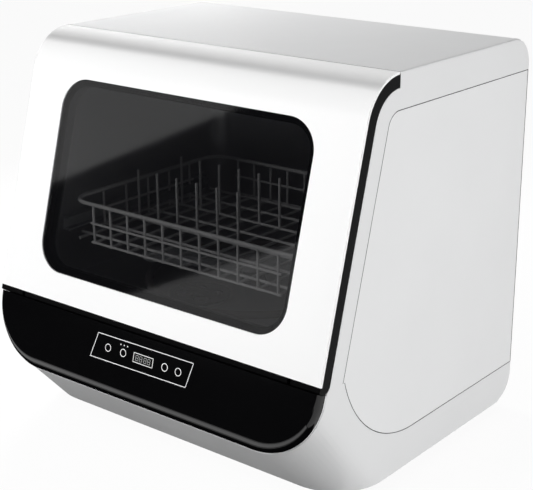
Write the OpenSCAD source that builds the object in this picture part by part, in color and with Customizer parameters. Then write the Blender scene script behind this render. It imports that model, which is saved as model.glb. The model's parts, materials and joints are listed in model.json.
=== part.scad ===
// Countertop dishwasher: a leaning drop-down door with a wide window that bends over into the
// top, a gloss control panel below it, a tub with a sliding wire rack, a spray arm, two pumps,
// and a drying fan.
// Millimetres. X runs to the right, Y to the back and Z up. The feet stand on z = 0, and the
// whole object is centred on x = 0 and y = 0.
// The front face leans back. Places on it are given as "up", measured up its slope from the
// door's lower edge, and "in", measured square to it from its outer surface into the machine.

/* [Case] */
// Width over the side walls
case_w = 450; // [436:1:470]
// Depth from the foremost line of the control panel to the back
case_d = 393; // [385:1:410]
// Height from the table to the flat top
case_h = 432; // [426:1:445]
// Thickness of the case's walls
wall = 3; // [2:0.5:4]
// Lean of the front face away from upright, in degrees
front_lean = 15.6; // [14:0.1:16.5]
// Radius of the bend from the front to the top
crest_r = 55; // [48:1:60]
// Radius of the upper rear edge
rear_top_r = 32; // [22:1:40]
// Radius of the lower rear edge
rear_foot_r = 30; // [20:1:36]
// Rounding of the long side edges
edge_r = 3; // [1:0.5:5]
// Distance from the foremost line back to the front of the underside
toe_setback = 66; // [56:1:76]
// Radius of the underside's front corners, seen from above
toe_r = 60; // [45:1:75]

/* [Feet and base] */
// Height of the feet under the case
foot_h = 10; // [8:1:14]
// Radius of a foot
foot_r = 14; // [11:1:17]
// Thickness of the base pan
base_t = 2.5; // [2:0.5:4]
// Width of the case's lip that carries the base pan
base_lip = 14; // [10:1:18]

/* [Door] */
// Height of the door's lower front edge above the table
door_foot_z = 153.2; // [150:0.2:156]
// Thickness of the door, seen as the dark band at its side
door_t = 15; // [14:0.5:17]
// Thickness of the pale outer skin
skin_t = 2.5; // [2:0.25:3]
// Gap between the closed door and the case
door_gap = 0.6; // [0.4:0.1:1]
// Thickness of the inner liner
liner_t = 2; // [1.5:0.25:2.5]
// Lower edge of the inner liner, up the slope
liner_low = 8; // [7:0.5:9]
// Border of the frame left round the inner liner
liner_border = 6; // [4:0.5:9]

/* [Window] */
// Border of the door beside the window
window_side = 53; // [50:0.5:64]
// Flat border of the door between the window and the bend
window_head = 4.2; // [4:0.2:12]
// Distance of the window's lower edge up the slope
window_low = 31; // [28:0.5:36]
// Corner radius of the window
window_r = 34; // [24:1:44]
// Thickness of the glass
glass_t = 4; // [3:0.5:5]
// How far the glass lies below the skin's surface
glass_sink = 0.5; // [0.3:0.1:1]
// Gap round the glass
glass_gap = 0.3; // [0.2:0.05:0.5]
// Ledge of the frame under the glass
glass_ledge = 7; // [5:0.5:9]

/* [Door hinge] */
// Depth of the hinge line behind the front face
hinge_in = 6; // [5.5:0.1:6.2]
// Height of the hinge line up the slope
hinge_up = 1.5; // [1.3:0.1:2]
// Radius of the hinge pins
hinge_pin_r = 1.75; // [1.5:0.05:1.9]
// Length of a hinge pin
hinge_pin_l = 31; // [25:1:36]
// Running clearance of a pin in the door, on the radius
pin_play = 0.05; // [0.03:0.01:0.08]
// Distance of the brackets from the door's sides
hinge_inset = 37; // [31:1:43]
// Thickness of a bracket
bracket_t = 3; // [2:0.5:4]
// Radius of the door's rounded lower end about the hinge line
knuckle_r = 9; // [8.6:0.1:9]
// Clearance that the door's lower end sweeps past
sweep_gap = 0.5; // [0.3:0.1:0.5]

/* [Control panel] */
// Distance from the door's lower edge down to the panel
panel_gap = 6.9; // [6.8:0.1:8]
// Distance from the door's lower edge down to the end of the panel's flat face
panel_drop = 68; // [60:1:74]
// Height of the rolled lower edge
roll_h = 14; // [10:0.5:18]
// Depth of the rolled edge
roll_in = 10.5; // [10:0.5:12]
// Width of the rolled edge at the sides
roll_side = 2.5; // [1.5:0.5:4]
// Corner radius of the panel's flat face
panel_r = 62; // [55:1:66]
// Thickness of the panel's moulding
panel_wall = 3; // [2.5:0.25:4]
// Thickness of the pale trim behind the panel
bezel_t = 1.2; // [0.8:0.1:1.6]
// Shadow gap between the trim and the case
bezel_gap = 0.6; // [0.4:0.1:1]

/* [Tub] */
// Space from the tub's inside to the machine's side
tub_side = 41; // [39:1:45]
// Thickness of the tub's walls
tub_t = 2; // [1.5:0.5:2]
// Height of the tub's floor above the table
tub_floor = 154; // [152:0.5:156]
// Space from the tub's ceiling to the machine's top
tub_head = 50; // [48:0.5:51.5]
// Clear space behind the tub
tub_rear_space = 48.5; // [44:0.5:54]
// Corner radius of the tub, seen from above
tub_r = 30; // [20:1:40]
// Radius between the tub's floor, ceiling and back
tub_bend_r = 22; // [12:1:28]
// Border of the tub beside its mouth
mouth_side = 5; // [4:0.5:7]
// Lower edge of the mouth, up the slope
mouth_low = 14; // [12:0.5:16]
// Distance from the mouth's upper edge to the start of the bend
mouth_head = 6.7; // [5.7:0.5:9.7]
// Corner radius of the mouth
mouth_r = 26; // [18:1:32]
// Thickness of the door gasket's band
gasket_t = 5; // [4:0.5:6]
// Thickness of the front frame that carries door, tub and panel
frame_t = 3; // [2.5:0.5:3.5]

/* [Sump and filter] */
// Place of the sump from the middle of the machine, left or right
sump_x = -28; // [-32:1:-26]
// Distance from the spray arm's axis forward to the middle of the sump
sump_ahead = 60; // [58:1:64]
// Inner radius of the sump
sump_r = 34; // [30:1:35]
// Depth of the sump under the tub's floor
sump_depth = 34; // [30:1:36]
// Rim width of the funnel round the sump
funnel_w = 16; // [12:1:18]
// Depth of the funnel round the sump
funnel_depth = 5; // [4:0.5:6]

/* [Spray arm] */
// Distance from the tub's back to the spray arm's axis
spray_back = 150; // [144:1:154]
// Gap between the turning arm's tips and the tub's walls
spray_clear = 12; // [10:1:24]
// Half width of the spray arm at its hub
spray_hub_r = 19; // [17:0.5:22]
// Radius of the spray arm's tips
spray_tip_r = 12; // [9:0.5:13]
// Thickness of the spray arm
spray_t = 11; // [9:0.5:12]
// Height of the spray arm's underside over the tub's floor
spray_lift = 19; // [17:0.5:21]
// Radius of the fixed riser that the arm turns on
riser_r = 9; // [8:0.25:10]
// Running clearance of the turning parts, on the radius
turn_play = 0.06; // [0.03:0.01:0.09]

/* [Rack] */
// Gap between the rack's rim and the tub's side
rack_side = 16; // [14:1:22]
// Distance from the machine's foremost line back to the rack
rack_front = 75.5; // [75:0.5:80]
// Gap between the rack and the tub's back
rack_rear_gap = 22; // [18:1:30]
// Height of the floor wires above the tub's floor
rack_lift = 53; // [51:0.5:55]
// Height of the rim wire above the floor wires
rack_rim_h = 44; // [36:1:50]
// Radius of the rim wire
rim_wire_r = 2.25; // [1.75:0.25:2.5]
// Radius of the thin wires
wire_r = 1.6; // [1.2:0.1:1.8]
// Spacing of the floor wires
wire_pitch = 26; // [22:1:32]
// Corner radius of the rim
rim_bend_r = 24; // [16:1:30]
// Height of the plate prongs
prong_h = 58; // [45:1:66]
// Spacing of the plate prongs
prong_pitch = 30; // [26:1:34]

/* [Cutlery basket] */
// Width of the cutlery basket
basket_w = 62; // [52:1:70]
// Depth of the cutlery basket, front to back
basket_d = 96; // [80:1:104]
// Height of the cutlery basket
basket_h = 98; // [84:1:104]
// Radius of the basket's rim wire
basket_rim_r = 1.8; // [1.6:0.1:2.2]
// Radius of the basket's thin wires
basket_wire_r = 1.2; // [1:0.1:1.4]
// Number of compartments in the basket
basket_cells = 3; // [2:1:4]
// Bend radius at the basket's corners
basket_bend_r = 9; // [6:1:14]

/* [Pumps and fan] */
// Height of the wash pump's axis above the table
pump_z = 72; // [68:1:76]
// Place of the wash pump's axis, left or right
pump_x = -28; // [-30:1:-26]
// Outer radius of the wash pump's casing
pump_r = 38; // [36:1:40]
// Radius of the wash pump's impeller
impeller_r = 27; // [22:1:29]
// Radius of the pump shafts
shaft_r = 4; // [3:0.25:5]
// Radius of the drying fan's wheel
fan_r = 30; // [26:1:32]
// Distance from the tub's ceiling down to the drying fan's axis
fan_drop = 60; // [52:1:70]
// Place of the drying fan's axis, left or right
fan_x = -112; // [-120:1:-100]

/* [Rear] */
// Border of the case beside the rear opening
rear_side = 27; // [23:1:35]
// Border of the case above and below the rear opening
rear_border = 39; // [37:1:46]
// Overlap of the rear cover on the case
rear_lap = 8; // [6:0.5:10]
// Thickness of the rear cover
rear_t = 2; // [1.5:0.25:2.5]
// Depth of the hose pocket in the rear cover
pocket_d = 26; // [22:1:30]
// Radius of the filling spout
spout_r = 13.2; // [12:0.1:13.5]
// Radius of the drain spigot
spigot_r = 9; // [7.5:0.25:9.5]
// Free length of the spout and the spigot
spout_l = 18.5; // [14:0.5:20]

/* [Hidden] */
$fn = 64;

// the front face and the crest
rear_y = case_d / 2;
roll_rise = roll_h * sin(front_lean);
roll_fall = roll_in * cos(front_lean);
panel_reach = panel_drop * sin(front_lean) + norm([roll_rise, roll_fall]) - roll_fall;
door_foot_y = panel_reach - case_d / 2;
crest_z = case_h - crest_r;
crest_up = (crest_z - door_foot_z + crest_r * sin(front_lean)) / cos(front_lean);
function front_pt(up, in) = [
    door_foot_y + up * sin(front_lean) + in * cos(front_lean),
    door_foot_z + up * cos(front_lean) - in * sin(front_lean)
];
crest = front_pt(crest_up, crest_r);
seam_y = crest[0];
toe_y = toe_setback - case_d / 2;
// longer than anything in the machine
far = 600;
// how far before a bend a straight run of an outline ends
meet = 0.6;
bend_flats = 24;
// how far pieces of one moulding run into each other
bond = 0.1;

// fasteners
screw_r = 1.6;
screw_head_r = 3.2;

// the side panels; arc is their large curve at the lower front
panel_sink = 1.5;
panel_seam = 0.7;
panel_in = 36.3;
panel_low = 52;
panel_arc_r = 128;
panel_arc_back = 161.2;
panel_kink_z = 145;

// the base
foot_places = [
    for (s = [-1, 1]) [s * (case_w / 2 - 55), toe_y + 62],
    for (s = [-1, 1]) [s * (case_w / 2 - 40), rear_y - rear_foot_r - 20]
];
base_screw_places = [
    for (s = [-1, 1], y = [0, 110]) [s * (case_w / 2 - base_lip / 2), y],
    for (s = [-1, 1]) [s * (case_w / 2 - 125), toe_y + base_lip / 2]
];
pan_border = 5;
vent_pitch = 20;
vent_reach = vent_pitch * floor((case_w / 2 - 60) / vent_pitch);
vent_w = 5;
vent_l = 40;
pump_floor = foot_h + wall + base_t;

// the rear
rear_mid_z = (case_h + foot_h) / 2;
rear_open_w = case_w - 2 * rear_side;
rear_open_h = case_h - foot_h - 2 * rear_border;
rear_corner_r = 14;
rear_gap = 0.4;
rear_screw_places = [
    for (sx = [-1, 1], sz = [-1, 0, 1]) [
        sx * (rear_open_w / 2 + rear_lap / 2),
        rear_mid_z + sz * (rear_open_h / 2 - 18)
    ]
];
pocket_x = [8, 134];
pocket_z = [66, 140];
pocket_y = rear_y - pocket_d;
spigot_at = [31, 118];
spout_at = [96, 98];
// where the spout and the spigot start to show, and where they end
spout_root = pocket_y + rear_t + 1.5;
spout_end = spout_root + spout_l;
spout_wall = 4;
spigot_wall = 2.5;
drain_pipe_r = spigot_r - 1;
hole_gap = 0.5;
socket_at = [-120, 84];
socket_w = 30;
socket_h = 24;
socket_depth = 22;

// the window
window_w = case_w - 2 * window_side;
window_h = crest_up - window_low - window_head;
window_mid = window_low + window_h / 2;

// the door hinge
hinge = front_pt(hinge_up, hinge_in);
hinge_x = case_w / 2 - hinge_inset;
eye_r = hinge_in - skin_t - 0.3;
bracket_low = -34;

// the hollow stiles of the door and the screws of its liner
stile_w = window_side - 2 * liner_border - 6;
stile_x = (window_w + case_w) / 4 + 1;
stile_low = 24;
stile_pitch = 42;
stile_rib = 4;
stile_n = floor((crest_up - stile_low - 10) / stile_pitch);
liner_screw_places = [
    for (sx = [-1, 1], u = [22, crest_up / 2 + 4, crest_up - 15.7])
        [sx * (case_w / 2 - liner_border - 7), u]
];

// the front frame and what stands behind it
frame_in = door_t + door_gap;
frame_back = frame_in + frame_t;
frame_end_w = case_w - 2 * (wall + edge_r) - 2;
flange_in = frame_back + 1.5;

// the tub and its mouth
tub_w = case_w - 2 * tub_side;
tub_top = case_h - tub_head;
tub_rear = rear_y - tub_rear_space;
mouth_w = tub_w - 2 * mouth_side;
mouth_high = crest_up - mouth_head;
mouth_mid = (mouth_low + mouth_high) / 2;
mouth_h = mouth_high - mouth_low;
gasket_w = mouth_w + 2 * gasket_t;
gasket_lift = 0.3;

// the touch keys and the display
touch_x = [-48.4, -26.1, 33.2, 51.8];
touch_up = -30.3;
touch_r = 4.3;
display_mid = [2.8, -30.6];
display_w = 27.4;
display_h = 9.7;
display_t = 1;
board_w = 156;
board_t = 1.6;
board_in = frame_in - 4;
boss_x = [-150, -90, 90, 150];
boss_up = -45;

// the detergent tray on the inside of the door
tray_w = 110;
tray_h = 14.4;
tray_front = 8;
tray_rise = 3;
tray_depth = door_t + tray_rise - tray_front;
tray_x = -70;
tray_up = 26;
tray_wall = 3;
cup_w = 48;
lid_t = 1.1;
lid_play = 0.2;

// the latch; tilt is the way in which its tongue leaves, above level
latch_tilt = 20;
latch_rise = 14;
tongue_w = 10;
tongue_t = 2;
tongue_end = 24;
tongue_root = 44;
plunger_r = 2.5;
plunger_at = 29;
plunger_gap = 0.3;

// the spray arm, the heater and the filter
arm_z = tub_floor + spray_lift;
spray_y = tub_rear - spray_back;
function front_y(z, in) = door_foot_y + (z - door_foot_z) * tan(front_lean) + in / cos(front_lean);
spray_room = spray_y - front_y(arm_z + spray_t, flange_in + tub_t);
spray_reach = min(spray_back, spray_room) - spray_clear;
spray_crown = 2;
spray_turn = 24;
sump_y = spray_y - sump_ahead;
sump_z = tub_floor - sump_depth;
heater_r = spray_reach - 14;
heater_wire = 4.2;
heater_lift = 8.5;
heater_gap_a = 8;
heater_ends = [
    for (s = [-1, 1]) [heater_r * s * sin(heater_gap_a), spray_y + heater_r * cos(heater_gap_a)]
];
filter_r = sump_r - 1;
filter_h = 20;
filter_z = tub_floor - funnel_depth;
filter_wall = 1.6;

// the pumps
casing_y = [spray_y - 13, spray_y + 13];
suction_r = 10;
suction_bore = 8;
suction_bend = 16;
motor_y = [casing_y[1] + 3, casing_y[1] + 84];
motor_r = 34;
rib_pitch = 13;
drain_x0 = sump_x + sump_r + tub_t;
drain_x1 = drain_x0 + 14;
drain_z = tub_floor - 24;
drain_r = 7;
drain_case_w = 18;
drain_case_r = 19;
drain_shaft_r = 2.5;
drain_out_y = sump_y + 28;

// the water inlet and the drying fan
fill_x = spout_at[0] + 34;
fill_z = tub_top - 42;
fill_r = 5;
fill_bend = 8;
fill_wall = 1.5;
duct_r = 20;
fan_y = [tub_rear + tub_t, rear_y - rear_t - 5];
fan_z = tub_top - fan_drop;
fan_depth = fan_y[1] - fan_y[0];
fan_shaft_r = 2.5;

// the power board
board_x = case_w / 2 - 97;
board_y = spray_y - 48;
board_l = 130;
board_d = 78;
board_lift = 8;

// the rack
rack_w = tub_w - 2 * rack_side;
rack_half = rack_w / 2 - rim_wire_r;
rack_front_y = rack_front - case_d / 2;
rack_rear_y = tub_rear - rack_rear_gap;
rack_floor_z = tub_floor + rack_lift;
rim_z = rack_floor_z + rack_rim_h;
cross_z = rack_floor_z + 2 * wire_r - 0.3;
wall_r = wire_r * 0.9;
rows = floor((rack_rear_y - rack_front_y - 20) / 34);
long_n = floor((rack_w / 2 - 12) / wire_pitch);
long_x = [for (i = [-long_n:long_n]) i * wire_pitch];
row_y = [for (i = [0:rows]) rack_front_y + 14 + i * (rack_rear_y - rack_front_y - 28) / rows];
prong_rows = [row_y[2], row_y[4]];
prong_x = [for (i = [0:5]) i * prong_pitch + 20.75 - rack_half];

// the rails and the rack's glides
rail_h = 16;
rail_w = 10;
rail_t = 2.4;
rail_y = [rack_front_y + 3, rack_rear_y - 10];
rail_z = rack_floor_z + 12;
rail_play = 0.4;
glide_y = [spray_y + 22, rack_rear_y - 18];

// the cutlery basket
basket_at = [rack_half - 8 - basket_w, spray_y + 18, cross_z + wire_r + 0.2];
basket_x = [basket_at[0] + basket_rim_r, basket_at[0] + basket_w - basket_rim_r];
basket_y = [basket_at[1] + basket_rim_r, basket_at[1] + basket_d - basket_rim_r];
basket_z = [basket_at[2] + basket_rim_r, basket_at[2] + basket_h - basket_rim_r];
basket_n = 4;
handle_w = 6;
handle_t = 6;
handle_rise = 30;

// ---- shared shapes ----

// draws a [y, z] outline and extrudes it along X, centred on x = at
module along_x(w, at = 0) {
    translate([at - w / 2, 0, 0])
        rotate([90, 0, 90])
            linear_extrude(w) children();
}

// puts [x, up, out] space on the front face; out is negative inside the machine
module on_front(up = 0, in = 0) {
    translate([0, front_pt(up, in)[0], front_pt(up, in)[1]])
        rotate([90 - front_lean, 0, 0]) children();
}

// extrudes an [x, up] outline between two depths behind the front face
module front_plate(in_a, in_b) {
    on_front()
        translate([0, 0, -in_b])
            linear_extrude(in_b - in_a) children();
}

module front_box(x, up, in) {
    front_plate(in[0], in[1])
        translate([x[0], up[0]]) square([x[1] - x[0], up[1] - up[0]]);
}

// a cylinder along X through a point behind the front face
module front_rod(up, in, r, w, at = 0) {
    along_x(w, at) translate(front_pt(up, in)) circle(r);
}

module rounded(w, h, r) {
    if (w > 2 * r) square([w - 2 * r, h], center = true);
    if (h > 2 * r) square([w, h - 2 * r], center = true);
    for (sx = [-1, 1], sy = [-1, 1])
        translate([sx * (w / 2 - r), sy * (h / 2 - r)]) circle(r);
}

// a plate with round lower corners only
module bib(half_w, low, top, r) {
    intersection() {
        translate([-half_w, low]) square([2 * half_w, top - low]);
        union() {
            translate([-half_w, low + r]) square([2 * half_w, far]);
            translate([r - half_w, low]) square([2 * (half_w - r), far]);
            for (s = [-1, 1]) translate([s * (half_w - r), low + r]) circle(r);
        }
    }
}

// everything behind the surface at one depth: the sloping front, the bend and the flat top
module front_core(in) {
    low = front_pt((-far - door_foot_z + in * sin(front_lean)) / cos(front_lean), in);
    translate(crest) circle(crest_r - in, $fn = 128);
    polygon([
        low, front_pt(crest_up - meet, in), crest, crest + [meet, crest_r - in],
        [far, crest[1] + crest_r - in], [far, low[1]]
    ]);
}

// the same outline with its bend drawn as short flats
module flat_core(in) {
    r = crest_r - in;
    low = front_pt((-far - door_foot_z + in * sin(front_lean)) / cos(front_lean), in);
    polygon(concat(
        [low],
        [
            for (k = [0:bend_flats])
                let (a = 180 - front_lean - k * (90 - front_lean) / bend_flats)
                crest + r * [cos(a), sin(a)]
        ],
        [[far, crest[1] + r], [far, low[1]]]
    ));
}

// the part of the side view that belongs to the door, above one height on the slope
module door_zone(up, seam = seam_y) {
    polygon([
        front_pt(up, -60), front_pt(up, 80), [seam, crest[1]], [seam, case_h + 60],
        [seam - far, case_h + 60]
    ]);
}

module door_band(in_a, in_b, up, seam = seam_y) {
    intersection() {
        door_zone(up, seam);
        difference() {
            front_core(in_a);
            front_core(in_b);
        }
    }
}

module toe_outline(shrink = 0) {
    half = case_w / 2 - shrink;
    r = max(toe_r - shrink, 5);
    front = toe_y + shrink;
    back = rear_y - rear_foot_r;
    translate([-half, front + r]) square([2 * half, back - front - r]);
    translate([r - half, front]) square([2 * (half - r), r + 1]);
    for (s = [-1, 1]) translate([s * (half - r), front + r]) circle(r);
}

// the outer form of the case, or the same form drawn in by a wall
module body_form(shrink = 0) {
    hull() {
        for (t = [0, 45, 90]) {
            cut = shrink + edge_r * (1 - sin(t));
            along_x(case_w - 2 * (shrink + edge_r * (1 - cos(t)))) {
                translate(crest) circle(crest_r - cut);
                translate([rear_y - rear_top_r, case_h - rear_top_r]) circle(rear_top_r - cut);
                translate([rear_y - rear_foot_r, foot_h + rear_foot_r]) circle(rear_foot_r - cut);
            }
        }
        front_plate(roll_in + shrink, roll_in + shrink + 0.01)
            bib(case_w / 2 - shrink, shrink - panel_drop - roll_h, -panel_gap,
                panel_r + roll_side * 3 - shrink);
        translate([0, 0, foot_h + shrink]) linear_extrude(0.01) toe_outline(shrink);
    }
}

module screw_head(r = screw_head_r, h = 1.4) {
    difference() {
        cylinder(h = h, r = r, $fn = 32);
        for (a = [0, 90]) rotate(a)
            translate([-r * 0.6, -r * 0.12, h * 0.5]) cube([r * 1.2, r * 0.24, h]);
    }
}

// ---- case ----

module side_panel_shape(gap = 0) {
    low = panel_low + gap;
    arc_r = panel_arc_r - gap;
    arc_c = [door_foot_y + panel_arc_back, low + arc_r];
    intersection() {
        flat_core(panel_in + gap);
        translate([-far, low]) square([far + rear_y - edge_r - gap, far]);
        union() {
            translate([-far, panel_kink_z]) square([2 * far, far]);
            translate([arc_c[0] - 1, 0]) square([far, far]);
            translate(arc_c) circle(arc_r, $fn = 128);
        }
    }
}

module main_housing() color("gainsboro") {
    difference() {
        body_form(0);
        body_form(wall);
        // room for the door
        along_x(case_w + 20) difference() {
            door_zone(-1, seam_y + door_gap);
            flat_core(frame_in);
        }
        front_rod(hinge_up, hinge_in, knuckle_r + sweep_gap, case_w + 20);
        // room for the control panel and its trim
        front_box([-case_w, case_w], [-200, 0], [-60, roll_in + bezel_t + bezel_gap]);
        // opening behind the control panel
        front_plate(roll_in, frame_in + 1)
            bib(case_w / 2 - 14, 12 - panel_drop - roll_h, 0, panel_r - 6);
        // opening over the base pan
        translate([0, 0, foot_h - 1]) linear_extrude(wall + 2) toe_outline(base_lip);
        for (p = base_screw_places) translate([p[0], p[1], foot_h - 1])
            cylinder(h = wall + 2, r = screw_r, $fn = 32);
        // opening and rebate of the rear cover
        rear_plate([0, rear_mid_z], rear_y - wall - 1, rear_y + 1)
            rounded(rear_open_w, rear_open_h, rear_corner_r);
        rear_plate([0, rear_mid_z], rear_y - rear_t, rear_y + 1)
            rounded(rear_open_w + 2 * rear_lap, rear_open_h + 2 * rear_lap, rear_corner_r + 6);
        // rebates of the side panels
        for (s = [-1, 1])
            along_x(panel_sink + 1, s * (case_w / 2 - panel_sink / 2 + 0.5)) side_panel_shape(0);
    }
}

module side_panel(side) {
    along_x(panel_sink - 0.1, side * (case_w / 2 - panel_sink / 2 - 0.05))
        side_panel_shape(panel_seam);
}

module side_panel_left() color("whitesmoke") side_panel(-1);
module side_panel_right() color("whitesmoke") side_panel(1);

module base_pan() color("silver") {
    z = foot_h + wall;
    difference() {
        translate([0, 0, z]) linear_extrude(base_t) toe_outline(wall + pan_border);
        for (x = [-vent_reach + vent_pitch / 2:vent_pitch:vent_reach], y = [-60, 120])
            translate([x, y, z - 1]) linear_extrude(base_t + 2) rounded(vent_w, vent_l, vent_w / 2);
        for (p = base_screw_places) translate([p[0], p[1], z - 1])
            cylinder(h = base_t + 2, r = screw_r, $fn = 32);
    }
    // stiffening ribs
    for (y = [-30:30:90])
        translate([30 - case_w / 2, y, z + base_t - bond]) cube([60, 2.5, 8]);
}

module feet() color("dimgray") {
    for (p = foot_places) translate([p[0], p[1], 0]) {
        cylinder(h = 2, r1 = foot_r - 1.5, r2 = foot_r);
        translate([0, 0, 2]) cylinder(h = foot_h + wall - 2, r = foot_r);
    }
}

module base_screws() color("silver") {
    for (p = base_screw_places) translate([p[0], p[1], foot_h]) {
        mirror([0, 0, 1]) screw_head();
        cylinder(h = wall + base_t, r = screw_r, $fn = 32);
    }
}

// ---- rear ----

// a round bar or hole that points to the back, between two depths
module rear_rod(at, y0, y1, r) {
    translate([at[0], y1, at[1]]) rotate([90, 0, 0]) cylinder(h = y1 - y0, r = r);
}

// a plate or slot in the rear face, between two depths
module rear_plate(at, y0, y1) {
    translate([at[0], y1, at[1]]) rotate([90, 0, 0]) linear_extrude(y1 - y0) children();
}

module rear_cover() color("gainsboro") {
    w = rear_open_w + 2 * (rear_lap - rear_gap);
    h = rear_open_h + 2 * (rear_lap - rear_gap);
    through = [rear_y - rear_t - 1, rear_y + 1];
    difference() {
        union() {
            rear_plate([0, rear_mid_z], rear_y - rear_t, rear_y)
                rounded(w, h, rear_corner_r + 6 - rear_gap);
            translate([pocket_x[0], pocket_y, pocket_z[0]])
                cube([pocket_x[1] - pocket_x[0], pocket_d - 1, pocket_z[1] - pocket_z[0]]);
        }
        translate([pocket_x[0] + rear_t, pocket_y + rear_t, pocket_z[0] + rear_t])
            cube([
                pocket_x[1] - pocket_x[0] - 2 * rear_t, pocket_d,
                pocket_z[1] - pocket_z[0] - 2 * rear_t
            ]);
        // holes for the spout, the spigot and the mains socket
        rear_rod(spigot_at, pocket_y - 1, pocket_y + rear_t + 1, drain_pipe_r + hole_gap);
        rear_rod(spout_at, pocket_y - 1, pocket_y + rear_t + 1, spout_r);
        rear_plate(socket_at, through[0], through[1]) square([socket_w, socket_h], center = true);
        // slots of the fan's outlet
        for (i = [-4:4])
            rear_plate([fan_x, fan_z + i * 7], through[0], through[1])
                rounded(2 * sqrt(34 * 34 - i * i * 49), 3.2, 1.5);
        // slots that air the motors
        for (i = [0:8])
            rear_plate([60 + i * 12, 190], through[0], through[1]) rounded(4, 46, 2);
        for (p = rear_screw_places) {
            rear_rod(p, through[0], through[1], screw_r);
            rear_rod(p, rear_y - 1.3, rear_y + 1, screw_head_r + 0.1);
        }
    }
}

module rear_screws() color("silver") {
    for (p = rear_screw_places)
        translate([p[0], rear_y - 1.3, p[1]]) rotate([-90, 0, 0]) {
            screw_head(screw_head_r, 1.2);
            translate([0, 0, 1.3 - rear_t]) cylinder(h = rear_t - 1.3, r = screw_r, $fn = 32);
        }
}

// ---- front frame, trim and control panel ----

module front_frame() color("dimgray") {
    end_y = seam_y + door_gap;
    difference() {
        intersection() {
            body_form(wall + 0.2);
            along_x(case_w) difference() {
                flat_core(frame_in);
                flat_core(frame_back);
                translate([end_y + 1, 0]) square([far, far]);
            }
        }
        front_plate(frame_in - 5, frame_back + 40)
            translate([0, mouth_mid]) rounded(gasket_w, mouth_h + 2 * gasket_t,
                                              mouth_r + gasket_t);
        // slot for the door's latch tongue
        latch_place() translate([-tongue_w / 2 - 2, -4, tongue_end - 4])
            cube([tongue_w + 4, 8, 30]);
    }
    // upright end of the frame under the fixed top
    translate([-frame_end_w / 2, end_y, case_h - frame_back - 8])
        cube([frame_end_w, frame_t, frame_back + 8 - wall - 0.2]);
}

module panel_bezel() color("silver") {
    low = -panel_drop - roll_h - 0.6;
    front_plate(roll_in + 0.01, roll_in + bezel_t) difference() {
        bib(case_w / 2, low, -panel_gap - 1.5, panel_r + roll_side * 3 + 0.6);
        bib(case_w / 2 - 4, low + 5, -panel_gap, panel_r + roll_side * 3 - 3);
    }
}

module control_panel() color([0.08, 0.08, 0.09]) {
    difference() {
        union() {
            hull() for (t = [0:22.5:90])
                front_plate(roll_in * (1 - cos(t)), roll_in * (1 - cos(t)) + 0.01)
                    bib(case_w / 2 - roll_side * (1 - sin(t)), -panel_drop - roll_h * sin(t),
                        -panel_gap, panel_r + roll_side * 3 * sin(t));
        }
        front_plate(panel_wall, roll_in + 1)
            bib(case_w / 2 - roll_side - 4, 6 - panel_drop - roll_h / 2, -panel_gap - 5,
                panel_r - 4);
        front_rod(hinge_up, hinge_in, knuckle_r + sweep_gap, case_w + 20);
        front_plate(-1, display_t + 0.2)
            translate(display_mid) square([display_w, display_h], center = true);
    }
    // bosses that carry the panel on the front frame
    for (x = boss_x)
        front_plate(panel_wall - 0.5, frame_in) translate([x, boss_up]) difference() {
            circle(5);
            circle(screw_r);
        }
}

module display_window() color([0.2, 0.22, 0.2]) {
    front_plate(0.2, display_t + 0.2) translate(display_mid)
        square([display_w - 0.4, display_h - 0.4], center = true);
}

module control_board() color("darkgreen") {
    back = board_in + board_t;
    front_box([-board_w / 2, board_w / 2], [-56, -18], [board_in, back]);
    front_box([-60, -40], [-52, -40], [back - bond, back + 2]);
    for (s = [-1, 1])
        front_plate(back - bond, frame_in) translate([s * (board_w / 2 - 8), -24]) circle(3);
}

module touch_springs() color("gold") {
    for (x = touch_x) front_plate(panel_wall, board_in) translate([x, touch_up])
        difference() {
            circle(touch_r);
            circle(touch_r - 1);
        }
}

// ---- hinge ----

module bracket_outline() {
    translate(front_pt(hinge_up, hinge_in)) circle(eye_r);
    polygon([
        front_pt(hinge_up + eye_r - 0.6, hinge_in), front_pt(hinge_up + 1, frame_in - 3),
        front_pt(hinge_up + 1, frame_in), front_pt(bracket_low, frame_in),
        front_pt(bracket_low, frame_in - 3),
        front_pt(-4, frame_in - 3), front_pt(hinge_up - 2.5, frame_in - 4.5),
        front_pt(hinge_up - 2.5, hinge_in + 1)
    ]);
}

module hinge_brackets() color("silver") {
    for (s = [-1, 1]) {
        difference() {
            along_x(bracket_t, s * hinge_x) bracket_outline();
            front_rod(hinge_up, hinge_in, hinge_pin_r, 20, s * hinge_x);
        }
        difference() {
            front_box([s * hinge_x - 10, s * hinge_x + 10], [bracket_low, bracket_low + 23],
                      [frame_in - 2, frame_in]);
            front_plate(frame_in - 3, frame_in + 1) for (e = [-1, 1])
                translate([s * hinge_x + e * 6, bracket_low + 12]) circle(screw_r);
        }
    }
}

module hinge_pins() color("silver") {
    for (s = [-1, 1]) front_rod(hinge_up, hinge_in, hinge_pin_r, hinge_pin_l, s * hinge_x);
}

// ---- door ----

module window_cut(in_a, in_b, shrink = 0) {
    front_plate(in_a, in_b) translate([0, window_mid])
        rounded(window_w - 2 * shrink, window_h - 2 * shrink, window_r - shrink);
}

module door_skin() color("white") {
    difference() {
        along_x(case_w) door_band(0, skin_t, 0);
        window_cut(-1, skin_t + 1);
    }
}

module hinge_notch(s) {
    half = bracket_t / 2 + 0.5;
    x = [s * hinge_x - half, s * hinge_x + half];
    front_box(x, [-14, hinge_up + eye_r + 1.5], [skin_t, door_t + 1]);
    front_box(x, [-14, 0], [-1, skin_t + 1]);
}

module liner_profile() {
    intersection() {
        door_band(door_t - liner_t, door_t, liner_low);
        translate([-far, 0]) square([far + seam_y - liner_border, far]);
    }
}

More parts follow.
